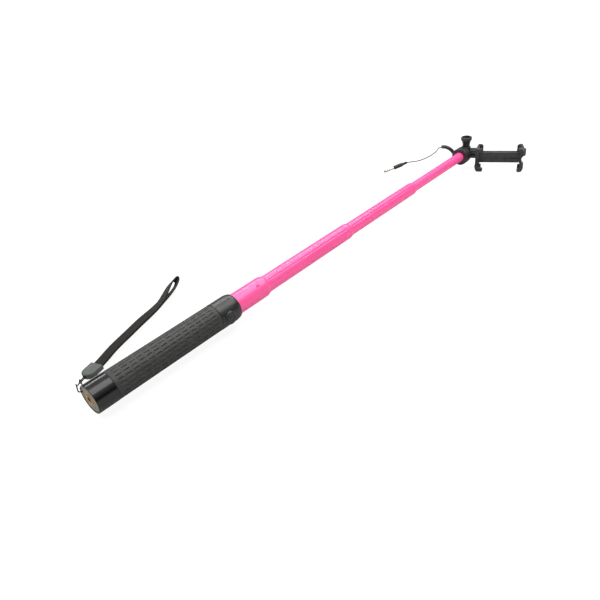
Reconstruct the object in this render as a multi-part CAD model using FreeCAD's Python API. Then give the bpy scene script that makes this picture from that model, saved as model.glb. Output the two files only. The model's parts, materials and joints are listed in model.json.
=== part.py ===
import FreeCAD
import Part

import math
import os

# A wired selfie stick, fully extended: handle with shutter button, four telescoping tubes,
# tilting head with a spring phone clamp, audio plug on a short lead, and a wrist strap.
# Millimetres. Origin: centre of the butt face. +X runs along the stick to the head,
# +Z is the tilt hinge's axis, and the shutter button faces -Y.

V = FreeCAD.Vector
X_AXIS = V(1, 0, 0)
Y_AXIS = V(0, 1, 0)
Z_AXIS = V(0, 0, 1)

# ---- driving dimensions: handle -------------------------------------------------------
handle_r = 13.0            # rubber grip outside radius
cap_r = 13.15              # end cap and collar outside radius
cap_end = 18.8             # end cap runs from the butt to here
grip_end = 129.0           # rubber grip ends and front collar starts
collar_end = 152.0         # front face of the collar
trim_seat = 149.6          # step in the collar that the trim ring rests on
trim_r = 11.8
sleeve_r_in = 10.5         # plastic sleeve between the outer tube and the grip
sleeve_r_out = 11.5
plug_front = 14.0          # butt plug length
socket_r = 3.175           # 1/4 inch tripod thread, modelled plain at its major radius
socket_depth = 11.0
insert_r = 4.8
fit_gap = 0.1              # gap between glued or pressed handle parts
eyelet_angle = 65.0        # wrist cord hole, turned from +Z towards +Y
eyelet_r = 1.35
eyelet_x = 3.5
eyelet_radius = 9.8

# ---- driving dimensions: shutter button -----------------------------------------------
button_x = 138.0
button_r = 4.75
boss_r = 6.4
boss_top = 13.7            # distance of the bezel face from the stick axis
button_top = 14.4
button_flange_r = 5.6
flange_front = 12.65       # front of the button's flange, from the stick axis
flange_thickness = 0.5
ring_r_out = 2.7           # plain ring moulded in the button's face
ring_r_in = 2.1
ring_depth = 0.3
board_front = 11.2         # faces of the switch board, from the stick axis
board_back = 10.5
board_half_length = 7.0
board_half_width = 4.1
dome_r = 1.2               # dome switch
dome_front = 11.6
dome_case_front = 11.45
dome_case_half = 2.0
lead_wire_r = 0.5          # lead from the board to the coiled cord
lead_height = 10.95        # distance of the lead from the stick axis
lead_turn_x = 17.0         # where the lead turns in to the cord
lead_slit_half = 0.7       # half width of the slit that the lead lies in

# ---- driving dimensions: telescoping tubes --------------------------------------------
wall = 0.5
tube_r = [10.45, 8.7, 7.4, 6.0]            # outside radii, outer tube to inner tube
tube_rear = [19.5, 162.0, 302.0, 433.0]
tube_front = [194.8, 327.0, 458.0, 584.5]
neck_length = 5.5
slide_gap = 0.05           # running clearance in necks and round the friction bushes
bush_length = 12.0
key_angle = 40.0           # anti-rotation groove and dimple, turned from +Z towards -Y
key_notch_r = [0.0, 1.35, 1.35]            # groove radius on the second and third tube
key_line_lift = 0.55       # the groove bar's axis is this far outside the tube
dimple_x = 180.5
dimple_bump = (2.6, 0.5, 1.85)             # cone inside the tube: base and tip radius, height
dimple_recess = (2.75, 0.1, 1.95)          # cone pressed in from outside
lip_length = 1.3           # straight lip in front of a tube's necked shoulder

# ---- driving dimensions: coiled signal cord -------------------------------------------
cord_wire_r = 0.7
cord_coil_r = 2.9
cord_pitch = 13.0
cord_ends = [(22, 158), (166, 298), (306, 429), (437, 570)]    # its stretch in each tube

# ---- driving dimensions: head ---------------------------------------------------------
hub_rear = 574.0
hub_ring_end = 585.0
hub_r = 11.2
hub_screw_x = 580.5        # set screw below, lead hole beside it
hub_screw_r = 1.5
hub_screw_z = -10.65       # lower end of the set screw
hub_screw_length = 4.6
pivot_x = 592.0
prong_r = 6.1
prong_half_stack = 8.8     # half height of the three hub prongs
hub_prong = 3.4            # thickness of the middle hub prong
prong_gap = 0.15           # clearance between hub and clamp prongs
clamp_prong = 3.3
bolt_r = 2.5               # M5 tilt bolt
bolt_hole_r = 2.55
nut_flats = 8.0
nut_bottom = -8.7
nut_height = 2.5
washer_r = 4.6
washer_thickness = 0.8
knob_base = 9.9
knob_top = 22.3
bolt_head_z = 14.6         # underside of the bolt's head, inside the knob
bolt_head = 3.2
knob_base_r = 4.8
knob_top_r = 7.2
knob_scallops = 6
knob_scallop_r = 2.0
knob_well_r = [4.62, 5.1]  # the well over the bolt head, at its floor and at the knob's top

# ---- driving dimensions: strain relief, lead and audio plug ---------------------------
boot_r = 2.4
lead_r = 0.6
lead_way_r = 1.2           # hole through the inner tube and the hub for the lead
plug_body_r = 2.6
plug_body_start = 6.0      # the plug's moulded grip, measured from the end of the lead
plug_body_end = 17.6
plug_ribs = 3
plug_rib_pitch = 1.9
jack_r = 1.75              # 3.5 mm audio plug
jack_length = 14.0
jack_start = 18.42         # where the metal of the plug starts, from the end of the lead
jack_bands = [(0.0, 6.0), (6.5, 8.4), (8.9, 10.8)]      # sleeve and two rings
plug_start = V(512.4, 44.5, 6.7)
plug_axis = V(-0.762, 0.604, -0.233).normalize()
boot_path = [(580.5, 8.0, 1.3), (580.3, 12.2, 2.5), (579.6, 16.0, 6.2), (578.2, 20.0, 8.9),
             (576.8, 24.0, 10.2), (574.4, 27.4, 10.0)]
lead_path = [(574.2, 27.7, 10.0), (570.5, 29.5, 9.9), (565.0, 28.0, 10.2), (555.0, 25.2, 10.3),
             (542.5, 24.6, 9.9), (529.0, 27.0, 9.1), (518.6, 33.0, 8.3), (513.8, 41.8, 7.2),
             (512.0, 44.8, 6.6)]

# ---- driving dimensions: phone clamp, drawn pointing along +X from the pivot ----------
clamp_turn = -67.5         # how far the clamp is turned about the tilt hinge at rest
clamp_drop = -2.75         # height of the clamp's centre below the stick axis
jaw_outer = 13.6           # outer face of the fixed jaw, from the pivot
jaw_wall = 5.4
bar_end = 69.0             # open end of the clamp bar
bar_half_height = 7.2
bar_back = -3.0            # back and front faces of the bar, measured across the clamp
bar_front = -10.0
lip_front = -22.0          # front of the jaw lips
notch_floor = -12.2        # the gap between a jaw's ears is cut back to here
ear_half_height = 16.4
ear_inner = 7.6            # jaw ears start this far above and below the clamp's centre
ear_bend = 8.0             # beyond this height the jaw's outer side curves in to its tips
ear_lean = 3.2             # how far the tips lean in
moving_outer = 75.6        # outer face of the sliding jaw
fixed_lip_reach = 5.0      # how far the lips hook in over the phone
moving_lip_reach = 2.6
wing_reach = 4.2           # how far each jaw's wing supports the phone's back
wing_thickness = 4.0
pull_reach = 1.8           # thumb pull on the sliding jaw
pull_heights = (2.6, 11.0)
scoop_r = 8.0              # finger scoop below the pull
scoop_depth = 3.2
scoop_height = -3.0
lip_start = 10.0           # the lips are only at the ends of the ears
lip_thickness = 3.4
pad_thickness = 2.4
shell = 1.2                # wall of the hollow bar
mould_line = (-1.3, -0.5)  # heights of the line moulded along the bar's front
end_slot = (-1.6, -0.2)    # heights of the short slot near the bar's open end
tongue_start = 31.0        # free end of the sliding jaw's tongue inside the bar
spring_heights = (-3.6, 3.6)
spring_peg = 50.0          # the springs pull on pegs here on the tongue
spring_r_out = 1.0
spring_r_in = 0.7
cover_screw_r = 0.62
cover_screw_places_x = (3.2, 8.5)          # from the fixed jaw's inner face
spring_across = -5.8       # centre of the springs, measured across the clamp

# ---- driving dimensions: wrist strap --------------------------------------------------
strap_width = 9.0
strap_thickness = 1.1
strap_cord_r = 0.5
buckle_centre = (24.6, 46.2, -11.0)
buckle_turn = 17.0         # turned from +X towards +Y
buckle_length = 16.5
buckle_width = 13.0
buckle_height = 5.4
buckle_pocket = 7.5        # depth of the pocket that the webbing is clamped in
buckle_cord_hole_r = 1.6
strap_join = 0.70          # share of the path where the two layers part to form the loop
strap_lean = 47.0          # how far the webbing leans at the tip
strap_lean_start = 0.52    # share of the path where it starts to lean
strap_opening = 3.6        # half opening of the loop
layer_gap = 0.1            # half the gap between the two layers
# Centre line of the webbing, from inside the buckle to the tip of its loop. The webbing lies
# flat at the buckle and leans over towards the tip.
strap_path = [(27.6, 47.1, -11.0), (33.3, 48.8, -11.0), (52.7, 57.9, -11.2), (73.3, 65.6, -11.5),
              (94.3, 72.9, -11.5), (112.0, 77.8, -11.2), (127.9, 84.0, -11.0), (138.2, 89.6, -10.8),
              (154.9, 100.2, -10.8), (163.5, 106.0, -11.0)]


def cylinder_x(radius, x_start, x_end, y=0.0, z=0.0):
    """A cylinder along the stick."""
    return Part.makeCylinder(radius, x_end - x_start, V(x_start, y, z), X_AXIS)


def tube_x(r_out, r_in, x_start, x_end):
    """A plain tube along the stick."""
    return cylinder_x(r_out, x_start, x_end).cut(cylinder_x(r_in, x_start - 1, x_end + 1))


def block(x_range, y_range, z_range):
    """A box given by its limits on each axis."""
    size = [high - low for low, high in (x_range, y_range, z_range)]
    return Part.makeBox(size[0], size[1], size[2], V(x_range[0], y_range[0], z_range[0]))


def turned(edges):
    """A solid of revolution about the stick axis from a closed profile of (x, r) edges."""
    face = Part.Face(Part.Wire(edges))
    return face.revolve(V(0, 0, 0), X_AXIS, 360)


def profile(points):
    """Edges of a closed profile. A point is (x, r); a pair of points is an arc's middle and end."""
    edges = []
    start = points[0]
    for item in list(points[1:]) + [points[0]]:
        if isinstance(item[0], tuple):
            middle, end = item
            arc = Part.Arc(V(start[0], 0, start[1]), V(middle[0], 0, middle[1]), V(end[0], 0, end[1]))
            edges.append(arc.toShape())
        else:
            end = item
            edges.append(Part.makeLine(V(start[0], 0, start[1]), V(end[0], 0, end[1])))
        start = end
    return edges


def radial(angle, radius, x=0.0):
    """A point at a radius from the stick axis, at an angle from +Z towards +Y."""
    turn = math.radians(angle)
    return V(x, radius * math.sin(turn), radius * math.cos(turn))


def hexagon(flats, bottom, height, x=0.0, y=0.0):
    """A hexagonal prism along +Z."""
    corner = flats / math.sqrt(3)
    points = []
    for i in range(7):
        turn = math.radians(60 * i)
        points.append(V(x + corner * math.cos(turn), y + corner * math.sin(turn), bottom))
    return Part.Face(Part.makePolygon(points)).extrude(V(0, 0, height))


def smooth_path(points):
    """A smooth curve through points, as a wire."""
    curve = Part.BSplineCurve()
    curve.interpolate([V(*p) for p in points])
    return Part.Wire([curve.toShape()])


def swept(path, radius):
    """A round bar along a wire."""
    edge = path.Edges[0]
    start = edge.valueAt(edge.FirstParameter)
    direction = edge.tangentAt(edge.FirstParameter)
    section = Part.Wire([Part.makeCircle(radius, start, direction)])
    return path.makePipeShell([section], True, True)


def rounded(solid, radius, picks):
    """The solid with the edges that picks(edge) accepts rounded off."""
    return solid.makeFillet(radius, [edge for edge in solid.Edges if picks(edge)])


def save(name, shape):
    shape.exportStep("parts/%s.step" % name)


# ---- handle ---------------------------------------------------------------------------
def end_cap():
    """Glossy tube closing the handle, with the side hole of the wrist cord."""
    cap = tube_x(cap_r, sleeve_r_out + fit_gap, 0, cap_end)
    cap = rounded(cap, 0.5, lambda e: e.BoundBox.XMax < 0.01 and e.BoundBox.YMax > cap_r - 0.01)
    side = Part.makeCylinder(eyelet_r, 5, radial(eyelet_angle, 10.5, eyelet_x), radial(eyelet_angle, 1))
    return cap.cut(side)


def butt_plug():
    """Plastic disc in the butt: holds the tripod insert and anchors the wrist cord."""
    groove_x = 0.7
    plug = turned(profile([
        (0.5, insert_r + 0.02), (0.5, 7.2), (groove_x, 7.4), (groove_x, 8.0), (0.3, 8.2),
        (0.3, 11.1), ((0.42, 11.38), (0.7, sleeve_r_out)), (plug_front, sleeve_r_out),
        (plug_front, insert_r + 0.02)]))
    axial = Part.makeCylinder(eyelet_r, eyelet_x + 1.0, radial(eyelet_angle, eyelet_radius, 0), X_AXIS)
    side = Part.makeCylinder(
        eyelet_r, 5, radial(eyelet_angle, eyelet_radius - 1.0, eyelet_x), radial(eyelet_angle, 1))
    return plug.cut(axial.fuse(side))


def tripod_insert():
    """Brass insert with a blind tripod thread."""
    body = turned(profile([
        (0, 0), (0, insert_r - 0.3), (0.3, insert_r), (plug_front - 0.5, insert_r), (plug_front - 0.5, 0)]))
    return body.cut(cylinder_x(socket_r, -1, socket_depth))


def handle_sleeve():
    """Slit plastic sleeve that centres the outer tube in the grip."""
    sleeve = tube_x(sleeve_r_out, sleeve_r_in, plug_front + 0.3, grip_end + 2)
    slit = block((lead_turn_x - 1, grip_end + 3), (-sleeve_r_out - 1, -sleeve_r_in + 0.3),
                 (-lead_slit_half, lead_slit_half))
    return sleeve.cut(slit)


def rubber_grip():
    return tube_x(handle_r, sleeve_r_out + fit_gap, cap_end + 0.2, grip_end - 0.2)


def front_collar():
    """Plastic collar with a flat bezel for the shutter button and a pocket for its board."""
    bore = sleeve_r_in + 0.05
    seat_r = trim_r + 0.1
    body = turned(profile([
        (grip_end, bore), (grip_end, cap_r - 0.1), (grip_end + 0.2, cap_r),
        (collar_end - 5.0, cap_r), ((collar_end - 1.6, cap_r - 0.5), (collar_end, cap_r - 1.0)),
        (collar_end, seat_r), (trim_seat, seat_r), (trim_seat, bore)]))
    body = body.fuse(Part.makeCylinder(boss_r, boss_top - 9.5, V(button_x, -boss_top, 0), Y_AXIS))
    body = body.cut(cylinder_x(bore, grip_end - 1, collar_end + 1))
    body = body.cut(cylinder_x(sleeve_r_out + fit_gap, grip_end - 1, grip_end + 2.5))
    half_length = board_half_length + 0.3
    half_width = board_half_width + 0.2
    pocket = block((button_x - half_length, button_x + half_length), (-board_front - 0.3, -10.0),
                   (-half_width, half_width))
    channel = block((grip_end + 1, button_x - board_half_length), (-board_front - 0.4, -10.0),
                    (-lead_slit_half, lead_slit_half))
    flange_room = Part.makeCylinder(
        button_flange_r + 0.15, 2.25, V(button_x, -flange_front - 0.1, 0), Y_AXIS)
    opening = Part.makeCylinder(button_r + 0.1, 4, V(button_x, -boss_top - 1, 0), Y_AXIS)
    return body.cut(pocket).cut(channel).cut(flange_room).cut(opening)


def trim_ring():
    """Thin ring that closes the collar round the outer tube."""
    bore = sleeve_r_in + 0.05
    rear = trim_seat + 0.1
    front = collar_end + 0.3
    return turned(profile([
        (rear, bore), (rear, trim_r), (collar_end - 0.2, trim_r),
        ((front - 0.15, trim_r - 0.2), (front, trim_r - 0.6)), (front, bore)]))


def switch_board():
    return block((button_x - board_half_length, button_x + board_half_length),
                 (-board_front, -board_back), (-board_half_width, board_half_width))


def dome_switch():
    """Low dome switch on the board, under the button."""
    case = block((button_x - dome_case_half, button_x + dome_case_half),
                 (-dome_case_front, -board_front - 0.01), (-dome_case_half, dome_case_half))
    return case.fuse(Part.makeCylinder(dome_r, 0.3, V(button_x, -dome_front, 0), Y_AXIS))


def shutter_button():
    """Round button with a plain ring moulded in its face."""
    flange = Part.makeCylinder(button_flange_r, flange_thickness, V(button_x, -flange_front, 0), Y_AXIS)
    stem = Part.makeCylinder(button_r, button_top - 12.5, V(button_x, -button_top, 0), Y_AXIS)
    stem = rounded(stem, 0.5, lambda e: e.BoundBox.YMax < -button_top + 0.01 and e.Length > 10)
    face = V(button_x, -button_top, 0)
    groove = Part.makeCylinder(ring_r_out, ring_depth, face, Y_AXIS)
    groove = groove.cut(Part.makeCylinder(ring_r_in, ring_depth, face, Y_AXIS))
    return stem.fuse(flange).cut(groove)


def board_lead():
    """Thin lead in the sleeve's slit, from the board back to the coiled cord."""
    turn = V(lead_turn_x, -lead_height, 0)
    run = cylinder_x(lead_wire_r, lead_turn_x, button_x - board_half_length - 0.05, -lead_height)
    drop = Part.makeCylinder(lead_wire_r, lead_height - cord_coil_r, turn, Y_AXIS)
    return run.fuse(drop).fuse(Part.makeSphere(lead_wire_r, turn))


# ---- telescoping tubes ----------------------------------------------------------------
def key_line(index, x_start, x_end, extra):
    """The round bar that shapes a tube's anti-rotation groove."""
    centre = radial(-key_angle, tube_r[index] + key_line_lift)
    return cylinder_x(key_notch_r[index] + extra, x_start, x_end, centre.y, centre.z)


def telescope_tube(index):
    """A tube whose front end is necked down onto the next tube."""
    r_out = tube_r[index]
    r_neck = tube_r[index + 1] + slide_gap
    rear = tube_rear[index]
    front = tube_front[index]
    neck = front - neck_length
    drop = r_out - r_neck - wall
    lip = front - lip_length
    sweep = math.atan(drop / (lip - neck))
    bend = drop / (2 * math.sin(sweep) ** 2)
    shoulder = (neck + bend * math.sin(sweep), r_out - bend * (1 - math.cos(sweep)))
    outside = turned(profile([
        (rear, 0), (rear, r_out), (neck, r_out), (shoulder, (lip, r_neck + wall)),
        (front - 0.2, r_neck + wall), (front, r_neck + wall - 0.2), (front, 0)]))
    inside = turned(profile([
        (rear - 1, 0), (rear - 1, r_out - wall), (neck - 0.5, r_out - wall), (lip - 0.8, r_neck),
        (front + 1, r_neck), (front + 1, 0)]))
    if key_notch_r[index]:
        outside = outside.cut(key_line(index, rear - 1, neck - 2, 0))
        inside = inside.cut(key_line(index, rear - 2, neck - 1.5, wall))
    return outside.cut(inside)


def outer_tube():
    """The tube fixed in the handle, with the dimple that keys the second tube."""
    tube = telescope_tube(0)
    inward = radial(-key_angle, -1)
    bump = Part.makeCone(*dimple_bump, radial(-key_angle, tube_r[0] - wall + 0.1, dimple_x), inward)
    recess = Part.makeCone(*dimple_recess, radial(-key_angle, tube_r[0] + 0.25, dimple_x), inward)
    return tube.fuse(bump).cut(recess)


def lead_way():
    """The hole through the tube wall and the hub, from the coiled cord to the strain relief."""
    return Part.makeCylinder(lead_way_r, 8, V(hub_screw_x, 2, 0.4), V(0, 1, 0.18))


def inner_tube():
    """The thinnest tube, with a side hole where the plug lead leaves it."""
    tube = tube_x(tube_r[3], tube_r[3] - wall, tube_rear[3], tube_front[3])
    return tube.cut(lead_way())


def friction_bush(index):
    """Plastic bush on the rear of a tube, sliding in the next larger tube."""
    rear = tube_rear[index]
    bush = tube_x(tube_r[index - 1] - wall - slide_gap, tube_r[index] + 0.02, rear, rear + bush_length)
    if key_notch_r[index - 1]:
        bush = bush.cut(key_line(index - 1, rear - 1, rear + bush_length + 1, wall + 0.1))
    return bush


def coil_cord(x_start, x_end):
    """A stretch of the coiled signal cord that runs through the tubes."""
    helix = Part.makeHelix(cord_pitch, x_end - x_start, cord_coil_r)
    section = Part.Wire([Part.makeCircle(cord_wire_r, V(cord_coil_r, 0, 0), V(0, 1, 0))])
    coil = Part.Wire(helix.Edges).makePipeShell([section], True, True)
    coil.rotate(V(0, 0, 0), Y_AXIS, 90)
    coil.translate(V(x_start, 0, 0))
    return coil


# ---- head -----------------------------------------------------------------------------
def head_hub():
    """Hub on the inner tube: socket ring, then three prongs for the tilt hinge."""
    ring = turned(profile([
        (hub_rear, 0), (hub_rear, hub_r - 0.6), ((hub_rear + 0.18, hub_r - 0.18), (hub_rear + 0.6, hub_r)),
        (hub_ring_end - 1.8, hub_r), ((hub_ring_end - 0.5, hub_r - 0.5), (hub_ring_end, hub_r - 1.8)),
        (hub_ring_end, 0)]))
    root = block((hub_ring_end - 3, pivot_x), (-prong_r, prong_r), (-prong_half_stack, prong_half_stack))
    hub = ring.fuse(root)
    hub = hub.fuse(Part.makeCylinder(prong_r, 2 * prong_half_stack, V(pivot_x, 0, -prong_half_stack)))
    slot_low = hub_prong / 2
    slot_high = slot_low + clamp_prong + 2 * prong_gap
    for sign in (1, -1):
        low, high = sorted((sign * slot_low, sign * slot_high))
        hub = hub.cut(block((pivot_x - prong_r - 0.45, pivot_x + 9), (-12, 12), (low, high)))
    hub = hub.cut(cylinder_x(tube_r[3] + slide_gap, hub_rear - 1, tube_front[3] + 0.1))
    hub = hub.cut(Part.makeCylinder(bolt_hole_r, 30, V(pivot_x, 0, -15)))
    hub = hub.cut(hexagon(nut_flats + 0.1, -prong_half_stack - 1, 3.6, pivot_x))
    hub = hub.cut(lead_way()).cut(swept(smooth_path(boot_path), boot_r + 0.05))
    screw_hole = Part.makeCylinder(hub_screw_r + 0.05, 7, V(hub_screw_x, 0, -12), Z_AXIS)
    return hub.cut(screw_hole)


def hub_screw():
    """Set screw that holds the hub on the inner tube."""
    screw = Part.makeCylinder(hub_screw_r, hub_screw_length, V(hub_screw_x, 0, hub_screw_z), Z_AXIS)
    return screw.cut(hexagon(1.5, hub_screw_z - 0.55, 1.8, hub_screw_x))


def tilt_nut():
    nut = hexagon(nut_flats, nut_bottom, nut_height, pivot_x)
    return nut.cut(Part.makeCylinder(bolt_hole_r, 5, V(pivot_x, 0, -10)))


def tilt_washer():
    washer = Part.makeCylinder(washer_r, washer_thickness, V(pivot_x, 0, prong_half_stack + 0.15))
    return washer.cut(Part.makeCylinder(bolt_r + 0.2, 3, V(pivot_x, 0, prong_half_stack - 1)))


def tilt_bolt():
    """Bolt through the prongs; its hexagon head sits in the knob."""
    end = -prong_half_stack + 0.2
    shank = Part.makeCylinder(bolt_r, bolt_head_z - end, V(pivot_x, 0, end))
    return shank.fuse(hexagon(nut_flats, bolt_head_z, bolt_head, pivot_x))


def tilt_knob():
    """Flared thumb knob with scallops round its rim and a well over the bolt head."""
    rim = knob_top - 3.2
    flare_mid = (knob_base_r + 0.55, knob_base + 0.55 * (rim - knob_base))
    outline = [
        Part.makeLine(V(0, 0, knob_base), V(knob_base_r - 0.4, 0, knob_base)),
        Part.makeLine(V(knob_base_r - 0.4, 0, knob_base), V(knob_base_r, 0, knob_base + 0.4)),
        Part.Arc(V(knob_base_r, 0, knob_base + 0.4), V(flare_mid[0], 0, flare_mid[1]),
                 V(knob_top_r, 0, rim)).toShape(),
        Part.makeLine(V(knob_top_r, 0, rim), V(knob_top_r, 0, knob_top - 0.9)),
        Part.Arc(V(knob_top_r, 0, knob_top - 0.9), V(knob_top_r - 0.26, 0, knob_top - 0.26),
                 V(knob_top_r - 0.9, 0, knob_top)).toShape(),
        Part.makeLine(V(knob_top_r - 0.9, 0, knob_top), V(0, 0, knob_top)),
        Part.makeLine(V(0, 0, knob_top), V(0, 0, knob_base)),
    ]
    knob = Part.Face(Part.Wire(outline)).revolve(V(0, 0, 0), Z_AXIS, 360)
    for i in range(knob_scallops):
        turn = math.radians(360 * (i + 0.5) / knob_scallops)
        reach = knob_top_r + 1.3
        place = V(reach * math.cos(turn), reach * math.sin(turn), 8)
        knob = knob.cut(Part.makeCylinder(knob_scallop_r, 20, place))
    knob = knob.cut(Part.makeCylinder(bolt_hole_r, 30, V(0, 0, 0)))
    knob = knob.cut(hexagon(nut_flats + 0.1, bolt_head_z - 0.05, bolt_head + 0.3))
    well = bolt_head_z + bolt_head + 0.2
    knob = knob.cut(Part.makeCone(knob_well_r[0], knob_well_r[1], knob_top + 0.2 - well, V(0, 0, well)))
    knob.translate(V(pivot_x, 0, 0))
    return knob


# ---- strain relief, lead and audio plug -----------------------------------------------
def strain_relief():
    return swept(smooth_path(boot_path), boot_r)


def plug_lead():
    return swept(smooth_path(lead_path), lead_r).cut(strain_relief())


def along_plug(radius, start, end, end_radius=None):
    """A cylinder or cone on the plug's axis, measured from the end of the lead."""
    base = plug_start + plug_axis * start
    if end_radius is None:
        return Part.makeCylinder(radius, end - start, base, plug_axis)
    return Part.makeCone(radius, end_radius, end - start, base, plug_axis)


def plug_body():
    """Moulded grip of the plug, with its ribbed tail."""
    body = along_plug(plug_body_r, plug_body_start, plug_body_end)
    body = body.fuse(along_plug(2 * lead_r, -1.0, plug_body_start, 3 * lead_r))
    body = body.fuse(along_plug(2.0, plug_body_end, jack_start - 0.02))
    for rib in range(plug_ribs):
        rib_start = 0.6 + plug_rib_pitch * rib
        body = body.fuse(along_plug(3 * lead_r, rib_start, rib_start + 1.1))
    bite = swept(smooth_path(lead_path), lead_r + 0.02)
    return body.cut(bite)


def jack_contacts():
    """Metal sleeve, rings and pointed tip of the plug."""
    bands = [along_plug(jack_r, jack_start + low, jack_start + high) for low, high in jack_bands]
    tip = along_plug(jack_r, jack_start + 11.3, jack_start + 11.9)
    tip = tip.fuse(along_plug(jack_r, jack_start + 11.9, jack_start + 12.4, 1.15))
    tip = tip.fuse(along_plug(1.15, jack_start + 12.4, jack_start + 13.0, jack_r - 0.1))
    tip = tip.fuse(along_plug(jack_r - 0.1, jack_start + 13.0, jack_start + jack_length, 0.7))
    return Part.makeCompound(bands + [tip])


def jack_insulators():
    """Black insulating rings between the contacts."""
    gaps = [(6.01, 6.49), (8.41, 8.89), (10.81, 11.29)]
    return Part.makeCompound([along_plug(jack_r - 0.03, jack_start + low, jack_start + high)
                              for low, high in gaps])


# ---- phone clamp ----------------------------------------------------------------------
def clamp_place(shape):
    """Moves a clamp part, drawn straight ahead of the pivot, to where it stands at rest."""
    placed = shape.copy()
    placed.translate(V(pivot_x, 0, 0))
    placed.rotate(V(pivot_x, 0, 0), Z_AXIS, clamp_turn)
    return placed


def clamp_block(x_range, y_range, half_heights):
    """A box whose height is given from the clamp's own centre."""
    low, high = half_heights
    return block(x_range, y_range, (clamp_drop + low, clamp_drop + high))


def across_edges(edge, length):
    """True for a straight edge of the given length that runs along the clamp."""
    box = edge.BoundBox
    return abs(box.XLength - length) < 0.01 and box.YLength < 0.01 and box.ZLength < 0.01


def jaw_plate(outer, inner):
    """Jaw wall with two ears: a claw that is open towards the phone and leans in at its tips."""
    inward = 1 if inner > outer else -1
    tip = outer + inward * ear_lean
    waist = (outer + inward * 0.3 * ear_lean, (ear_bend + ear_half_height) / 2)
    outline = profile([
        (tip, -ear_half_height), ((waist[0], -waist[1]), (outer, -ear_bend)), (outer, ear_bend),
        (waist, (tip, ear_half_height)), (inner, ear_half_height), (inner, -ear_half_height)])
    claw = Part.Face(Part.Wire(outline)).extrude(V(0, bar_back - lip_front, 0))
    claw.translate(V(0, lip_front, clamp_drop))
    low, high = sorted((outer, inner))
    envelope = clamp_block((low - 1, high + 1), (lip_front, bar_back), (-ear_half_height, ear_half_height))
    envelope = rounded(envelope, 4.0, lambda e: across_edges(e, high - low + 2))
    notch = clamp_block((low - 2, high + 2), (lip_front - 4, notch_floor), (-ear_inner, ear_inner))
    notch = rounded(notch, 3.0, lambda e: (
        across_edges(e, high - low + 4) and e.BoundBox.YMin > notch_floor - 0.8))
    return claw.common(envelope).cut(notch)


def jaw_lips(x_start, x_end):
    """Rounded lips that hook in over the front of the phone, one on each ear."""
    lips = []
    tip = ear_half_height - 0.4
    for low, high in ((lip_start, tip), (-tip, -lip_start)):
        lip = clamp_block((x_start, x_end), (lip_front, lip_front + lip_thickness), (low, high))
        lips.append(lip.makeFillet(1.6, lip.Edges))
    return lips


def jaw_wing(root, tip):
    """Rounded wing on the upper ear that backs the phone."""
    low, high = sorted((root, tip))
    wing = clamp_block((low, high), (bar_back - wing_thickness, bar_back),
                       (bar_half_height + 0.25, ear_half_height))
    wing_top = clamp_drop + ear_half_height
    wing = rounded(wing, 3.4, lambda e: (
        e.BoundBox.YLength > wing_thickness - 0.01 and e.BoundBox.ZMin > wing_top - 0.01
        and abs(e.BoundBox.XMin - tip) < 0.01))
    return rounded(wing, 0.8, lambda e: e.BoundBox.YMax < bar_back - wing_thickness + 0.01)


def ear_pads(x_start, x_end):
    """Rubber pads on the inner faces of the two ears."""
    pads = []
    front = lip_front + lip_thickness + 0.3
    for low, high in ((ear_inner + 0.4, ear_half_height - 2.0), (-ear_half_height + 2.0, -ear_inner - 0.4)):
        pad = clamp_block((x_start, x_end), (front, bar_front - 0.8), (low, high))
        pads.append(pad.makeFillet(0.8, pad.Edges))
    return pads


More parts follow.
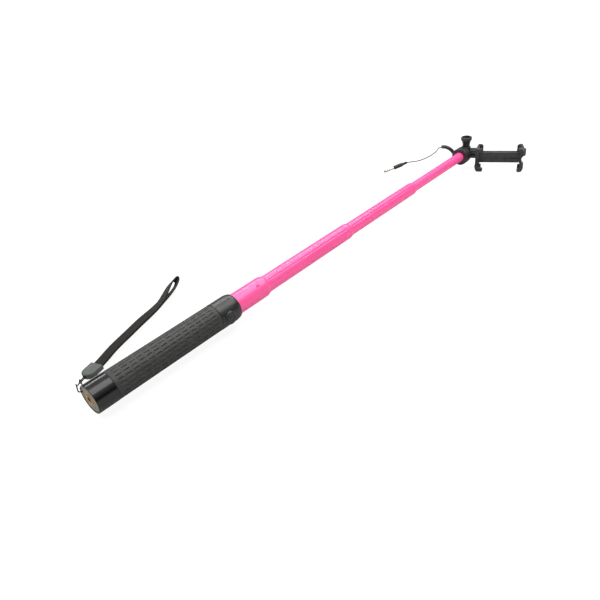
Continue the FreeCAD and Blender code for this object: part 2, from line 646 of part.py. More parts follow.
def clamp_body():
    """Fixed jaw and hollow bar in one moulding, with two prongs for the tilt hinge."""
    jaw_inner = jaw_outer + jaw_wall
    body = jaw_plate(jaw_outer, jaw_inner)
    bar = clamp_block((jaw_outer + 1, bar_end), (bar_front, bar_back), (-bar_half_height, bar_half_height))
    bar = rounded(bar, 1.0, lambda e: across_edges(e, bar_end - jaw_outer - 1))
    body = body.fuse(bar)
    for lip in jaw_lips(jaw_inner - 2.5, jaw_inner + fixed_lip_reach):
        body = body.fuse(lip)
    body = body.fuse(jaw_wing(jaw_inner - 2.5, jaw_inner + wing_reach))
    line = clamp_block((jaw_inner + 5, bar_end - 8), (bar_front - 1, bar_front + 0.35), mould_line)
    body = body.cut(line)
    stack_top = hub_prong / 2 + prong_gap + clamp_prong
    lug = block((jaw_outer - 1, jaw_inner), (-prong_r, prong_r), (-stack_top, stack_top))
    lug_corner = V(jaw_inner, prong_r, 0)
    lug = rounded(lug, 2.0, lambda e: e.BoundBox.ZLength > 9 and (e.CenterOfMass - lug_corner).Length < 0.1)
    body = body.fuse(lug)
    for sign in (1, -1):
        low, high = sorted((sign * (hub_prong / 2 + prong_gap), sign * stack_top))
        plate = block((0, jaw_outer), (-prong_r, prong_r), (low, high))
        plate = plate.fuse(Part.makeCylinder(prong_r, high - low, V(0, 0, low)))
        body = body.fuse(plate)
    body = body.cut(Part.makeCylinder(bolt_hole_r, 20, V(0, 0, -10)))
    cavity_low = bar_half_height - shell
    cavity = clamp_block((jaw_inner + 1.0, bar_end + 1), (bar_front + shell, bar_back - 0.9),
                         (-cavity_low, cavity_low))
    cover_seat = clamp_block((jaw_inner + 1.0, bar_end - 3), (bar_back - 0.95, bar_back + 1),
                             (-cavity_low - 0.4, cavity_low + 0.4))
    body = body.cut(cavity).cut(cover_seat)
    through_front = (bar_front - 1, bar_front + shell + 0.5)
    face_slot = clamp_block((bar_end - 8.0, bar_end - 2.5), through_front, end_slot)
    body = body.cut(face_slot)
    for post_z in spring_heights:
        foot = V(jaw_inner + 2.6, bar_front + shell - 0.2, clamp_drop + post_z)
        post = Part.makeCylinder(0.7, 3.4, foot, Y_AXIS)
        body = body.fuse(post)
    for place in cover_screw_places():
        column = Part.makeCylinder(1.5, 4.8, V(place.x, bar_front + 1, place.z), Y_AXIS)
        hole = Part.makeCylinder(
            cover_screw_r + 0.03, 4.0, V(place.x, bar_back - 4.9, place.z), Y_AXIS)
        body = body.fuse(column).cut(hole)
    return clamp_place(body.removeSplitter())


def cover_screw_places():
    inner = jaw_outer + jaw_wall
    return [V(inner + ahead, bar_back, clamp_drop) for ahead in cover_screw_places_x]


def clamp_cover():
    """Flat cover on the back of the bar."""
    edge = bar_half_height - shell + 0.3
    ends = (jaw_outer + jaw_wall + 1.1, bar_end - 3.1)
    cover = clamp_block(ends, (bar_back - 0.9, bar_back), (-edge, edge))
    for place in cover_screw_places():
        cover = cover.cut(Part.makeCylinder(0.9, 3, V(place.x, place.y - 2, place.z), Y_AXIS))
    return clamp_place(cover)


def cover_screws():
    """Two pan head screws that hold the cover."""
    screws = []
    for place in cover_screw_places():
        head = Part.makeCylinder(1.5, 0.7, V(place.x, bar_back + 0.02, place.z), Y_AXIS)
        head = rounded(head, 0.3, lambda e: e.BoundBox.YMin > bar_back + 0.6 and e.Length > 5)
        shank = Part.makeCylinder(cover_screw_r, 3.9, V(place.x, bar_back - 3.8, place.z), Y_AXIS)
        screw = head.fuse(shank)
        for along, up in ((0.8, 0.15), (0.15, 0.8)):
            screw = screw.cut(block((place.x - along, place.x + along), (bar_back + 0.4, bar_back + 1),
                                    (place.z - up, place.z + up)))
        screws.append(screw)
    return clamp_place(Part.makeCompound(screws))


def fixed_jaw_pads():
    inner = jaw_outer + jaw_wall
    return clamp_place(Part.makeCompound(ear_pads(inner + 0.02, inner + pad_thickness)))


def moving_jaw_pads():
    inner = moving_outer - jaw_wall
    return clamp_place(Part.makeCompound(ear_pads(inner - pad_thickness, inner - 0.02)))


def moving_jaw():
    """Sliding jaw with the tongue that runs inside the bar."""
    inner = moving_outer - jaw_wall
    scoop_centre = V(moving_outer + scoop_r - scoop_depth, lip_front - 1, clamp_drop + scoop_height)
    scoop = Part.makeCylinder(scoop_r, bar_back - lip_front + 2, scoop_centre, Y_AXIS)
    jaw = jaw_plate(moving_outer, inner).cut(scoop)
    height = (-bar_half_height, bar_half_height)
    jaw = jaw.fuse(clamp_block((bar_end + 0.3, inner + 1), (bar_front, bar_back), height))
    for lip in jaw_lips(inner - moving_lip_reach, inner + 2.5):
        jaw = jaw.fuse(lip)
    jaw = jaw.fuse(jaw_wing(inner + 2.5, inner - wing_reach))
    pull_depth = (bar_front - 2, bar_back)
    pull = clamp_block((moving_outer - 2, moving_outer + pull_reach), pull_depth, pull_heights)
    jaw = jaw.fuse(pull.makeFillet(1.5, pull.Edges))
    play = 0.15
    half = bar_half_height - shell - play
    tongue_front = bar_front + shell + play
    tongue = clamp_block((tongue_start, inner), (tongue_front, tongue_front + 1.2), (-half, half))
    jaw = jaw.fuse(tongue)
    for low, high in ((-half, -half + 0.6), (half - 0.6, half)):
        jaw = jaw.fuse(clamp_block((tongue_start, inner), (tongue_front, bar_back - 1.2), (low, high)))
    for z in spring_heights:
        peg = Part.makeCylinder(0.6, 3.0, V(spring_peg, tongue_front, clamp_drop + z), Y_AXIS)
        jaw = jaw.fuse(peg)
    return clamp_place(jaw.removeSplitter())


def jaw_springs():
    """The two springs that pull the sliding jaw shut, as closed tubes between their posts."""
    start = jaw_outer + jaw_wall + 4.0
    end = spring_peg - 1.2
    springs = []
    for z in spring_heights:
        centre = V(start, spring_across, clamp_drop + z)
        coil = Part.makeCylinder(spring_r_out, end - start, centre, X_AXIS)
        springs.append(coil.cut(Part.makeCylinder(spring_r_in, end - start, centre, X_AXIS)))
    return clamp_place(Part.makeCompound(springs))


# ---- wrist strap ----------------------------------------------------------------------
def buckle_place(shape):
    """Moves the buckle, drawn along +X about the origin, to where it lies."""
    placed = shape.copy()
    placed.rotate(V(0, 0, 0), Z_AXIS, buckle_turn)
    placed.translate(V(*buckle_centre))
    return placed


def strap_buckle():
    """Moulded cord lock: round at the cord end, square where the webbing goes in."""
    half = buckle_length / 2
    nose = half - buckle_width / 2
    body = block((-nose, half), (-buckle_width / 2, buckle_width / 2),
                 (-buckle_height / 2, buckle_height / 2))
    body = body.fuse(Part.makeCylinder(buckle_width / 2, buckle_height, V(-nose, 0, -buckle_height / 2)))
    body = rounded(body.removeSplitter(), 1.2, lambda e: e.BoundBox.ZLength < 0.01)
    pocket_side = strap_width / 2 + 0.6
    pocket = block((half - buckle_pocket, half + 1), (-pocket_side, pocket_side), (-1.45, 1.45))
    cord_hole = Part.makeCylinder(buckle_cord_hole_r, 9, V(-half - 1, 0, 0), X_AXIS)
    return buckle_place(body.cut(pocket).cut(cord_hole))


def strap_sections():
    """Outlines of the webbing along its way out, round the loop and back."""
    spine = Part.BSplineCurve()
    spine.interpolate([V(*p) for p in strap_path])
    first, last = spine.FirstParameter, spine.LastParameter

    def frame_at(part):
        at = first + (last - first) * min(max(part, 0.0), 1.0)
        step = 0.001 * (last - first)
        along = (spine.value(min(at + step, last)) - spine.value(max(at - step, first))).normalize()
        lean = math.radians(strap_lean) * max(0.0, (part - strap_lean_start) / (1 - strap_lean_start))
        level = Z_AXIS.cross(along).normalize()
        across = level * math.cos(lean) - Z_AXIS * math.sin(lean)
        across = (across - along * across.dot(along)).normalize()
        return spine.value(at), across, along.cross(across)

    layer = strap_thickness / 2 + layer_gap
    places = []
    straight_steps = 16
    for i in range(straight_steps):
        part = strap_join * i / straight_steps
        centre, across, normal = frame_at(part)
        places.append((centre + normal * layer, across))
    loop_steps = 32
    for i in range(loop_steps + 1):
        turn = 2 * math.pi * i / loop_steps
        part = strap_join + (1 - strap_join) * (1 - math.cos(turn)) / 2
        centre, across, normal = frame_at(part)
        offset = layer * math.cos(turn / 2) + strap_opening * math.sin(turn) * math.sin(turn / 2) ** 1.5
        places.append((centre + normal * offset, across))
    for i in range(straight_steps - 1, -1, -1):
        centre, across, normal = frame_at(strap_join * i / straight_steps)
        places.append((centre - normal * layer, across))

    sections = []
    for i, (centre, across) in enumerate(places):
        before = places[max(i - 1, 0)][0]
        after = places[min(i + 1, len(places) - 1)][0]
        along = (after - before).normalize()
        side = (across - along * across.dot(along)).normalize()
        half_w = side * (strap_width / 2)
        half_t = along.cross(side) * (strap_thickness / 2)
        corners = [centre + half_w + half_t, centre - half_w + half_t,
                   centre - half_w - half_t, centre + half_w - half_t]
        sections.append(Part.makePolygon(corners + [corners[0]]))
    return sections


def wrist_strap():
    """Webbing loop: out along one side, round the tip, and back along the other."""
    return Part.makeLoft(strap_sections(), True, True)


def strap_cord():
    """Thin cord from the buckle through the hole in the butt and back."""
    turn = math.radians(buckle_turn)
    ahead = V(math.cos(turn), math.sin(turn), 0)
    nose = V(*buckle_centre) - ahead * (buckle_length / 2 - 3.0)
    aside = V(-math.sin(turn), math.cos(turn), 0) * 0.8
    inside = radial(eyelet_angle, eyelet_radius - 0.6, eyelet_x - 0.6)
    points = [nose - aside, nose - aside - ahead * 4, V(8.2, 33.0, -5.8),
              radial(eyelet_angle + 6, 20.0, 5.2), radial(eyelet_angle, 14.0, eyelet_x),
              radial(eyelet_angle, 11.6, eyelet_x), inside, radial(eyelet_angle, eyelet_radius, 0),
              radial(eyelet_angle + 3, 11.2, -1.5), radial(eyelet_angle + 9, 14.6, -1.0),
              radial(eyelet_angle + 15, 21.0, 1.4), V(6.2, 34.6, -7.6),
              nose + aside - ahead * 4, nose + aside]
    return swept(smooth_path([(p.x, p.y, p.z) for p in points]), strap_cord_r)


def main():
    os.makedirs("parts", exist_ok=True)
    save("end_cap", end_cap())
    save("butt_plug", butt_plug())
    save("tripod_insert", tripod_insert())
    save("handle_sleeve", handle_sleeve())
    save("rubber_grip", rubber_grip())
    save("front_collar", front_collar())
    save("trim_ring", trim_ring())
    save("switch_board", switch_board())
    save("dome_switch", dome_switch())
    save("shutter_button", shutter_button())
    save("board_lead", board_lead())
    save("outer_tube", outer_tube())
    save("second_tube", telescope_tube(1))
    save("third_tube", telescope_tube(2))
    save("inner_tube", inner_tube())
    save("second_tube_bush", friction_bush(1))
    save("third_tube_bush", friction_bush(2))
    save("inner_tube_bush", friction_bush(3))
    for place, ends in zip(("handle", "second", "third", "inner"), cord_ends):
        save("coil_cord_" + place, coil_cord(*ends))
    save("head_hub", head_hub())
    save("hub_screw", hub_screw())
    save("tilt_nut", tilt_nut())
    save("tilt_washer", tilt_washer())
    save("tilt_bolt", tilt_bolt())
    save("tilt_knob", tilt_knob())
    save("strain_relief", strain_relief())
    save("plug_lead", plug_lead())
    save("plug_body", plug_body())
    save("jack_contacts", jack_contacts())
    save("jack_insulators", jack_insulators())
    save("clamp_body", clamp_body())
    save("clamp_cover", clamp_cover())
    save("cover_screws", cover_screws())
    save("fixed_jaw_pads", fixed_jaw_pads())
    save("moving_jaw", moving_jaw())
    save("moving_jaw_pads", moving_jaw_pads())
    save("jaw_springs", jaw_springs())
    save("strap_cord", strap_cord())
    save("strap_buckle", strap_buckle())
    save("wrist_strap", wrist_strap())


main()
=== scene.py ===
import json
import math

import bpy
from mathutils import Matrix, Vector


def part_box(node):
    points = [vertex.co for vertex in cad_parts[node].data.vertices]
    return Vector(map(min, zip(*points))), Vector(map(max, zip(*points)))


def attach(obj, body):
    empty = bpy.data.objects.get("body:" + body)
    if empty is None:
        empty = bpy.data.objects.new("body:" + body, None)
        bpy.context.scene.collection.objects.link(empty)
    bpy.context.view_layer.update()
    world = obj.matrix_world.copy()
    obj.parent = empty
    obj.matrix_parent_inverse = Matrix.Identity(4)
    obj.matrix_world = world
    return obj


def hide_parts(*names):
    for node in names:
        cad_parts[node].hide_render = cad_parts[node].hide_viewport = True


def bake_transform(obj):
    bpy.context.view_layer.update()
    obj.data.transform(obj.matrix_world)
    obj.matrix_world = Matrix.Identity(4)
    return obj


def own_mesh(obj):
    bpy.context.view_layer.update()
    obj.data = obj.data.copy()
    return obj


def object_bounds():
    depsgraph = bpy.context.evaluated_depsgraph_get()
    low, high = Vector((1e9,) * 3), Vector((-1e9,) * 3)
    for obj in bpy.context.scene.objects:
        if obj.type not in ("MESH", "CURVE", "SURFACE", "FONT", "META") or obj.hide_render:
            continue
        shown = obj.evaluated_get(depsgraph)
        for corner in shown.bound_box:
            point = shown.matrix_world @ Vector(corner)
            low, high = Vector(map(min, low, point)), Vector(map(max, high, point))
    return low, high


# The looks of a wired selfie stick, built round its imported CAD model. Metres throughout.
# +X runs along the stick to the head, +Z is the tilt hinge's axis, the button faces -Y.

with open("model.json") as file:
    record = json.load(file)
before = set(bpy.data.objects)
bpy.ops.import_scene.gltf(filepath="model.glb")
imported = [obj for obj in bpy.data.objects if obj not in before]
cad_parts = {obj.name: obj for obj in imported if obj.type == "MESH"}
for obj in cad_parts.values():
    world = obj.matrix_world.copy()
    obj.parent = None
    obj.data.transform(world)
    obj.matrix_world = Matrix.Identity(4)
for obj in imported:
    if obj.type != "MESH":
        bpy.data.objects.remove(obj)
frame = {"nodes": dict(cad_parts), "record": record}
cad_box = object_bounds()
nodes = frame["nodes"]

MM = 0.001

# ---- view ---------------------------------------------------------------------------------
camera_place = Vector((-0.1082, -0.3622, 0.2841))
camera_forward = Vector((0.5791, 0.6050, -0.5464))
camera_roll = 8.0          # degrees
camera_sensor = 36         # mm
camera_lens = 33.84        # mm

# ---- grip pattern -------------------------------------------------------------------------
grip_rows = 22             # rows of slots round the grip
grip_dashes = 14           # slots along one row
grip_thickness = 1.4 * MM
grip_rounding = 0.25 * MM  # the grip's outer edges are taken off by this much
grip_margin = 3.0 * MM     # plain rubber at each end of the grip
row_shoulder = 0.32        # a line of points beside a slot, as a share of the rows' pitch
slot_share = 0.72          # slot length as a share of its pitch
slot_half_width = 0.30 * MM
slot_depth = 0.55 * MM
slot_edge = 0.24 * MM      # width of the rounded edge of a slot
slot_reach = slot_half_width + slot_edge / 2    # from the slot's centre line to flat rubber

webbing_edge = 0.35 * MM   # radius of the webbing's rolled edges

# ---- finishes, named as the record's slots; tones are screen colours from 0 to 255 ---------
fine_grain = 0.03 * MM     # depth of the texture of a smooth moulding
# Each has its darker and lighter tone, its least and greatest roughness and its grain's depth.
plastics = {
    "cap_black": ((10, 10, 12), (18, 18, 21), 0.14, 0.20, fine_grain),
    "plug_grey": ((150, 137, 120), (172, 158, 140), 0.45, 0.65, fine_grain),
    "inner_plastic": ((205, 205, 198), (222, 222, 215), 0.40, 0.60, fine_grain),
    "collar_black": ((34, 34, 34), (44, 43, 43), 0.30, 0.42, fine_grain),
    "button_black": ((30, 30, 30), (40, 40, 40), 0.25, 0.38, fine_grain),
    "cord_black": ((30, 30, 30), (42, 42, 41), 0.42, 0.55, fine_grain),
    "insulator_black": ((8, 8, 8), (16, 16, 16), 0.20, 0.30, fine_grain),
    "buckle_grey": ((66, 72, 67), (76, 82, 77), 0.42, 0.55, fine_grain),
    "head_black": ((36, 36, 36), (50, 50, 49), 0.34, 0.50, 0.08 * MM),
    "pad_rubber": ((24, 24, 24), (34, 34, 34), 0.60, 0.75, 0.10 * MM),
}
# Each has its darker and lighter tone, and its least and greatest roughness.
metals = {
    "insert_brass": ((190, 146, 88), (222, 182, 124), 0.34, 0.50),
    "spring_steel": ((150, 150, 152), (190, 190, 192), 0.25, 0.40),
    "plug_metal": ((190, 186, 176), (226, 222, 212), 0.12, 0.25),
}
# Each has its darker and lighter tone, and the size of its threads.
weaves = {
    "cord_fabric": ((14, 14, 14), (36, 36, 35), 0.25 * MM),
    "webbing_black": ((13, 11, 8), (38, 34, 27), 0.60 * MM),
}

# ---- studio -------------------------------------------------------------------------------
floor_size = 40
floor_centre_x = 0.3
floor_drop = 0.1 * MM                   # gap between the stick's lowest point and the floor
floor_lift = 0.90                       # glow that keeps the far floor white to the camera
floor_bounced = (0.52, 0.52, 0.52, 1)   # the floor as it lights the stick
floor_mirrored = (0.55, 0.55, 0.55, 1)  # the floor as the stick's gloss mirrors it
white = (1, 1, 1, 1)
# Brightness of the surround in shading and reflections, from the horizon up to overhead.
surround_tones = [(0.0, 0.04), (0.3, 0.06), (0.6, 0.5), (1.0, 1.0)]


# ---- node helpers -------------------------------------------------------------------------
def set_stops(ramp, stops):
    """Gives a colour ramp node its stops; a stop is (place, colour or grey value)."""
    elements = ramp.color_ramp.elements
    while len(elements) < len(stops):
        elements.new(0.5)
    for element, (where, value) in zip(elements, stops):
        element.position = where
        element.color = value if isinstance(value, tuple) else (value, value, value, 1)


class Shader:
    """A procedural material under construction, with short calls for the nodes it needs."""

    def __init__(self, name):
        self.material = bpy.data.materials.new(name)
        self.material.use_nodes = True
        self.tree = self.material.node_tree
        self.surface = self.tree.nodes["Principled BSDF"]

    def link(self, source, target):
        self.tree.links.new(source, target)

    def set(self, **values):
        """Plain values on the surface, named with underscores for spaces."""
        for name, value in values.items():
            self.surface.inputs[name.replace("_", " ")].default_value = value

    def coordinates(self):
        """Object coordinates in metres, which move with the piece."""
        return self.tree.nodes.new("ShaderNodeTexCoord").outputs["Object"]

    def scaled(self, vector, scale):
        mapping = self.tree.nodes.new("ShaderNodeMapping")
        mapping.inputs["Scale"].default_value = scale
        self.link(vector, mapping.inputs["Vector"])
        return mapping.outputs["Vector"]

    def noise(self, scale, detail=3.0, stretch=(1, 1, 1)):
        """Noise with features about 1/scale metres across."""
        texture = self.tree.nodes.new("ShaderNodeTexNoise")
        texture.inputs["Scale"].default_value = scale
        texture.inputs["Detail"].default_value = detail
        self.link(self.scaled(self.coordinates(), stretch), texture.inputs["Vector"])
        return texture.outputs["Fac"]

    def ramp(self, factor, stops):
        """A factor from 0 to 1 turned into colours or greys."""
        ramp = self.tree.nodes.new("ShaderNodeValToRGB")
        set_stops(ramp, stops)
        self.link(factor, ramp.inputs["Fac"])
        return ramp.outputs["Color"]

    def product(self, first, second):
        node = self.tree.nodes.new("ShaderNodeMath")
        node.operation = "MULTIPLY"
        self.link(first, node.inputs[0])
        self.link(second, node.inputs[1])
        return node.outputs["Value"]

    def bump(self, height, distance, strength):
        """Fine surface texture; distance is its depth in metres."""
        bump = self.tree.nodes.new("ShaderNodeBump")
        bump.inputs["Distance"].default_value = distance
        bump.inputs["Strength"].default_value = strength
        self.link(height, bump.inputs["Height"])
        self.link(bump.outputs["Normal"], self.surface.inputs["Normal"])

    def colour(self, source):
        self.link(source, self.surface.inputs["Base Color"])

    def roughness(self, source):
        self.link(source, self.surface.inputs["Roughness"])


def srgb(red, green, blue):
    """A colour given as 0 to 255 screen values, as the linear colour a shader takes."""
    linear = []
    for value in (red, green, blue):
        share = value / 255
        linear.append(share / 12.92 if share <= 0.04045 else ((share + 0.055) / 1.055) ** 2.4)
    return (linear[0], linear[1], linear[2], 1.0)


def mottled(shader, dark, light, scale, stretch=(1, 1, 1)):
    """Base colour that drifts between two close screen tones."""
    tones = [(0.35, srgb(*dark)), (0.65, srgb(*light))]
    shader.colour(shader.ramp(shader.noise(scale, 4.0, stretch), tones))


def worn(shader, low, high, scale, stretch=(1, 1, 1)):
    """Roughness that drifts between two values."""
    shader.roughness(shader.ramp(shader.noise(scale, 5.0, stretch), [(0.3, low), (0.7, high)]))


# ---- materials ----------------------------------------------------------------------------
def pink_paint():
    """Glossy pink on the tubes, with a faint drawn grain along them and a painted glow that lifts
    their shaded sides.
    """
    shader = Shader("pink_paint")
    mottled(shader, (224, 72, 136), (232, 81, 144), 60, (0.3, 1, 1))
    worn(shader, 0.36, 0.46, 900, (0.06, 1, 1))
    shader.set(Metallic=0.10, Coat_Weight=0.20, Coat_Roughness=0.20)
    # painted glow: a pink emission that brightens the tubes' shaded undersides as if light reached
    # them
    shader.set(Emission_Color=srgb(255, 92, 156), Emission_Strength=0.27)
    shader.bump(shader.noise(1500, 2.0, (0.04, 1, 1)), 0.02 * MM, 0.25)
    return shader.material


def hard_plastic(name, dark, light, low, high, grain):
    """Moulded plastic: two close tones, a fine texture, and a roughness from low to high."""
    shader = Shader(name)
    mottled(shader, dark, light, 140)
    worn(shader, low, high, 260)
    shader.bump(shader.noise(4200, 3.0), grain, 0.5)
    return shader.material


def grip_rubber():
    """Soft matte rubber with a dusty bloom."""
    shader = Shader("grip_rubber")
    mottled(shader, (45, 45, 43), (57, 57, 54), 220)
    worn(shader, 0.52, 0.68, 500)
    shader.bump(shader.noise(5200, 4.0), 0.05 * MM, 0.6)
    return shader.material


def turned_metal(name, dark, light, low, high):
    """Bare or plated metal with fine turning marks, and a roughness from low to high."""
    shader = Shader(name)
    mottled(shader, dark, light, 300)
    worn(shader, low, high, 700, (1, 0.3, 0.3))
    shader.set(Metallic=1.0)
    shader.bump(shader.noise(6000, 2.0, (1, 0.2, 0.2)), 0.02 * MM, 0.4)
    return shader.material


def woven(name, dark, light, thread):
    """Woven cloth: a crossed weave of threads of the given size."""
    shader = Shader(name)
    coordinates = shader.coordinates()
    waves = []
    for slant in (1, -1):
        wave = shader.tree.nodes.new("ShaderNodeTexWave")
        wave.wave_type = "BANDS"
        wave.bands_direction = "DIAGONAL"
        wave.inputs["Scale"].default_value = 1.0
        wave.inputs["Distortion"].default_value = 0.4
        stretch = (1 / thread, slant / thread, 1 / thread)
        shader.link(shader.scaled(coordinates, stretch), wave.inputs["Vector"])
        waves.append(wave.outputs["Fac"])
    weave = shader.product(waves[0], waves[1])
    shader.colour(shader.ramp(weave, [(0.1, srgb(*dark)), (0.8, srgb(*light))]))
    shader.set(Roughness=0.85, Sheen_Weight=0.08, Sheen_Roughness=0.5, Specular_IOR_Level=0.3)
    shader.bump(weave, 0.12 * MM, 0.8)
    return shader.material


def board_green():
    """Lacquered circuit board."""
    shader = Shader("board_green")
    mottled(shader, (18, 78, 42), (30, 96, 54), 400)
    worn(shader, 0.3, 0.45, 600)
    shader.bump(shader.noise(3000, 2.0), fine_grain, 0.4)
    return shader.material


def floor_paper():
    """Plain pale studio floor: white to the camera, duller to the light that reaches the stick."""
    shader = Shader("floor_paper")
    tones = [(0.35, srgb(110, 110, 110)), (0.65, srgb(114, 114, 114))]
    shader.colour(shader.ramp(shader.noise(3), tones))
    shader.set(Roughness=0.9, Specular_IOR_Level=0.1)
    shader.set(Emission_Color=white, Emission_Strength=floor_lift)
    rays = shader.tree.nodes.new("ShaderNodeLightPath")
    tone = shader.tree.nodes.new("ShaderNodeMix")
    tone.data_type = "RGBA"
    tone.inputs["A"].default_value = floor_bounced
    tone.inputs["B"].default_value = floor_mirrored
    shader.link(rays.outputs["Is Glossy Ray"], tone.inputs["Factor"])
    bounced = shader.tree.nodes.new("ShaderNodeBsdfDiffuse")
    shader.link(tone.outputs["Result"], bounced.inputs["Color"])
    mix = shader.tree.nodes.new("ShaderNodeMixShader")
    shader.link(rays.outputs["Is Camera Ray"], mix.inputs["Fac"])
    shader.link(bounced.outputs["BSDF"], mix.inputs[1])
    shader.link(shader.surface.outputs["BSDF"], mix.inputs[2])
    shader.link(mix.outputs["Shader"], shader.tree.nodes["Material Output"].inputs["Surface"])
    return shader.material


def make_materials():
    """One material for each slot of the record."""
    made = {"tube_pink": pink_paint(), "grip_rubber": grip_rubber(), "board_green": board_green()}
    for finish, table in ((hard_plastic, plastics), (turned_metal, metals), (woven, weaves)):
        for name, look in table.items():
            made[name] = finish(name, *look)
    return made


def dress_cad(materials):
    """Gives every carried-over CAD node the material of its slot."""
    for part in frame["record"]["subparts"]:
        mesh = nodes[part["node"]].data
        mesh.materials.clear()
        mesh.materials.append(materials[part["material_slot"]])


# ---- new pieces ---------------------------------------------------------------------------
def place_piece(name, mesh, material):
    """A piece with one finish, in the scene and on a slot of the record."""
    mesh.materials.clear()
    mesh.materials.append(material)
    piece = bpy.data.objects.new(name, mesh)
    bpy.context.scene.collection.objects.link(piece)
    return piece


def copy_of(node, name, material):
    """A piece with the shape of a CAD node, which it stands for."""
    piece = place_piece(name, nodes[node].data.copy(), material)
    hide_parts(node)
    return piece


def blended(value, edge):
    """Smooth step from 0 at zero to 1 at edge."""
    share = min(max(value / edge, 0.0), 1.0)
    return share * share * (3 - 2 * share)


def both_sides(half):
    """Places on one side of a slot's middle, from the outside in, and their mirror images."""
    return [-place for place in half] + [0] + half[::-1]


def edge_places(limit):
    """Places over the rounded edge of a slot that ends at the limit."""
    return [limit, limit - slot_edge / 2, limit - slot_edge]


def slot_dent(inside, across, pitch, half_length):
    """How deep the rubber is pressed in, this far into the slotted part and across a row."""
    if not 0 < inside < pitch * grip_dashes:
        return 0.0
    along = (inside % pitch) - pitch / 2
    past_end = max(abs(along) - half_length, 0.0)
    return slot_depth * blended(slot_reach - math.hypot(past_end, across), slot_edge)


def grip_places(rear, front, pitch, half_length):
    """Where rings of points are needed along the grip."""
    half = edge_places(half_length + slot_reach) + [half_length, half_length / 2]
    steps = [-pitch / 2] + both_sides(half)
    places = [rear, rear + grip_rounding, rear + grip_margin / 2]
    for dash in range(grip_dashes):
        middle = rear + grip_margin + (dash + 0.5) * pitch
        places += [middle + step for step in steps]
    return places + [front - grip_margin, front - grip_margin / 2, front - grip_rounding, front]


def point_round(x, radius, turn):
    """A point at a radius from the stick's axis."""
    return (x, radius * math.sin(turn), radius * math.cos(turn))


def band(first, second, count):
    """Faces between two closed rings of points, given the number each ring starts at."""
    faces = []
    for i in range(count):
        after = (i + 1) % count
        faces.append((first + i, first + after, second + after, second + i))
    return faces


def grip_round_places(radius):
    """Where points are needed round the grip: (turn, distance across from a slot's middle)."""
    row_pitch = 2 * math.pi * radius / grip_rows
    slot_steps = [place / row_pitch for place in both_sides(edge_places(slot_reach))]
    steps = [-0.5, -row_shoulder] + slot_steps + [row_shoulder]
    return [(2 * math.pi * (row + step) / grip_rows, step * row_pitch)
            for row in range(grip_rows) for step in steps]


def grip_faces(rings, count):
    """Faces over the grip's rings of points, and its ends in to the last two rings, the bore's."""
    front = (rings - 1) * count
    rear_bore = front + count
    front_bore = rear_bore + count
    faces = []
    for ring in range(0, front, count):
        faces += band(ring, ring + count, count)
    return faces + band(rear_bore, 0, count) + band(front, front_bore, count)


def slotted_grip(material):
    """The rubber grip with rows of short slots pressed into it."""
    low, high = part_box("rubber_grip")
    outer = high.z
    pitch = (high.x - low.x - 2 * grip_margin) / grip_dashes
    half_length = slot_share * pitch / 2 - slot_half_width
    places = grip_places(low.x, high.x, pitch, half_length)
    round_places = grip_round_places(outer)

    vertices = []
    for x in places:
        rounding = grip_rounding if x in (low.x, high.x) else 0.0
        for turn, across in round_places:
            dent = slot_dent(x - low.x - grip_margin, across, pitch, half_length)
            vertices.append(point_round(x, outer - dent - rounding, turn))
    for x in (low.x, high.x):
        vertices += [point_round(x, outer - grip_thickness, turn) for turn, _ in round_places]

    mesh = bpy.data.meshes.new("slotted_grip")
    mesh.from_pydata(vertices, [], grip_faces(len(places), len(round_places)))
    mesh.validate()
    mesh.shade_smooth()
    grip = place_piece("slotted_grip", mesh, material)
    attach(grip, "handle")
    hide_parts("rubber_grip")


def coiled_cords(material):
    """The signal cord's stretches inside their tubes, each copied onto its own mesh and carried by
    its tube's body.
    """
    for node, body, joint in (("coil_cord_handle", "handle", "second_tube_slide"),
                              ("coil_cord_second", "second_tube", "third_tube_slide"),
                              ("coil_cord_third", "third_tube", "inner_tube_slide")):
        cord = copy_of(node, node + "_soft", material)
        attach(cord, body)
        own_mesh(cord)


def wrist_cord(material):
    """The thin cord between the butt and the buckle, copied with its placing baked into its mesh."""
    cord = copy_of("strap_cord", "wrist_cord", material)
    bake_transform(cord)


def webbing(material):
    """The strap with its edges rolled over, as woven tape has."""
    strap = copy_of("wrist_strap", "webbing", material)
    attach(strap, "wrist_strap")
    bevel = strap.modifiers.new("rolled_edges", "BEVEL")
    bevel.width = webbing_edge
    bevel.segments = 3
    bevel.limit_method = "ANGLE"
    bevel.angle_limit = math.radians(50)


# ---- studio -------------------------------------------------------------------------------
def soft_light(name, place, aim, size, watts):
    """A rectangular area light that shines from its place towards a point."""
    data = bpy.data.lights.new(name, "AREA")
    data.shape = "RECTANGLE"
    data.size, data.size_y = size
    data.energy = watts
    light = bpy.data.objects.new(name, data)
    light.location = place
    light.rotation_euler = (Vector(aim) - Vector(place)).to_track_quat("-Z", "Y").to_euler()
    bpy.context.scene.collection.objects.link(light)


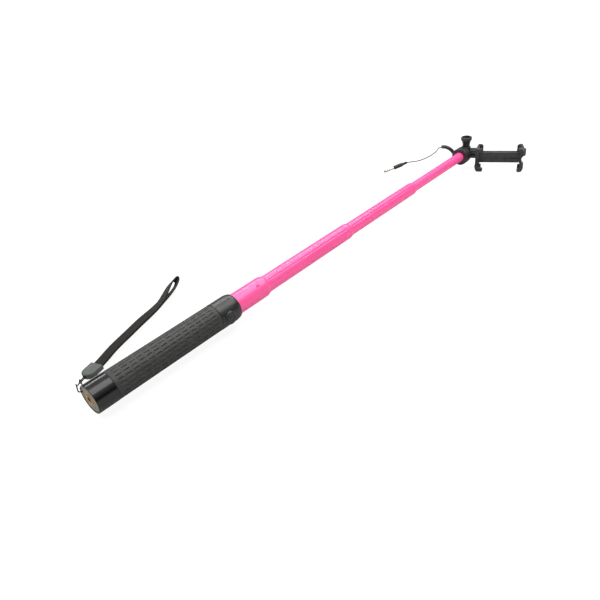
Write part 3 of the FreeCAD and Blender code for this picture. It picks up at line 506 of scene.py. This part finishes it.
def pale_surround():
    """White to the camera, but dimmer towards the horizon in reflections and shading."""
    world = bpy.data.worlds.new("pale_surround")
    world.use_nodes = True
    new_node = world.node_tree.nodes.new
    link = world.node_tree.links.new
    split = new_node("ShaderNodeSeparateXYZ")
    link(new_node("ShaderNodeTexCoord").outputs["Generated"], split.inputs["Vector"])
    ramp = new_node("ShaderNodeValToRGB")
    set_stops(ramp, surround_tones)
    link(split.outputs["Z"], ramp.inputs["Fac"])
    mix = new_node("ShaderNodeMix")
    mix.data_type = "RGBA"
    link(new_node("ShaderNodeLightPath").outputs["Is Camera Ray"], mix.inputs["Factor"])
    link(ramp.outputs["Color"], mix.inputs["A"])
    mix.inputs["B"].default_value = white
    background = world.node_tree.nodes["Background"]
    link(mix.outputs["Result"], background.inputs["Color"])
    bpy.context.scene.world = world


def studio(material):
    """Pale floor, a broad soft light overhead, a narrow one behind the stick and a weak fill."""
    floor_place = (floor_centre_x, 0, cad_box[0][2] - floor_drop)
    bpy.ops.mesh.primitive_plane_add(size=floor_size, location=floor_place)
    floor = bpy.context.object
    floor.name = "studio_floor"
    floor.data.materials.append(material)
    pale_surround()
    soft_light("overhead", place=(0.75, -0.30, 1.0), aim=(0.75, -0.30, 0), size=(1.3, 0.85), watts=11)
    soft_light("behind", place=(0.70, 0.64, 0.74), aim=(0.1, 0, 0), size=(1.2, 0.2), watts=6.5)
    soft_light("fill", place=(-0.5, 0.1, 1.2), aim=(0.1, 0, 0), size=(0.9, 0.9), watts=5)
    bpy.context.scene.view_settings.view_transform = "Standard"


def set_camera():
    """The camera that sees the stick from beside its butt, a little rolled."""
    data = bpy.data.cameras.new("camera")
    data.lens = camera_lens
    data.sensor_width = camera_sensor
    data.clip_start = 0.01
    camera = bpy.data.objects.new("camera", data)
    forward = camera_forward.normalized()
    level = forward.cross(Vector((0, 0, 1))).normalized()
    right = Matrix.Rotation(math.radians(camera_roll), 3, forward) @ level
    up = right.cross(forward)
    axes = Matrix((right, up, -forward)).transposed().to_4x4()
    camera.matrix_world = Matrix.Translation(camera_place) @ axes
    bpy.context.scene.collection.objects.link(camera)
    bpy.context.scene.camera = camera


materials = make_materials()
dress_cad(materials)
slotted_grip(materials["grip_rubber"])
coiled_cords(materials["cord_black"])
wrist_cord(materials["cord_fabric"])
webbing(materials["webbing_black"])
studio(floor_paper())
set_camera()
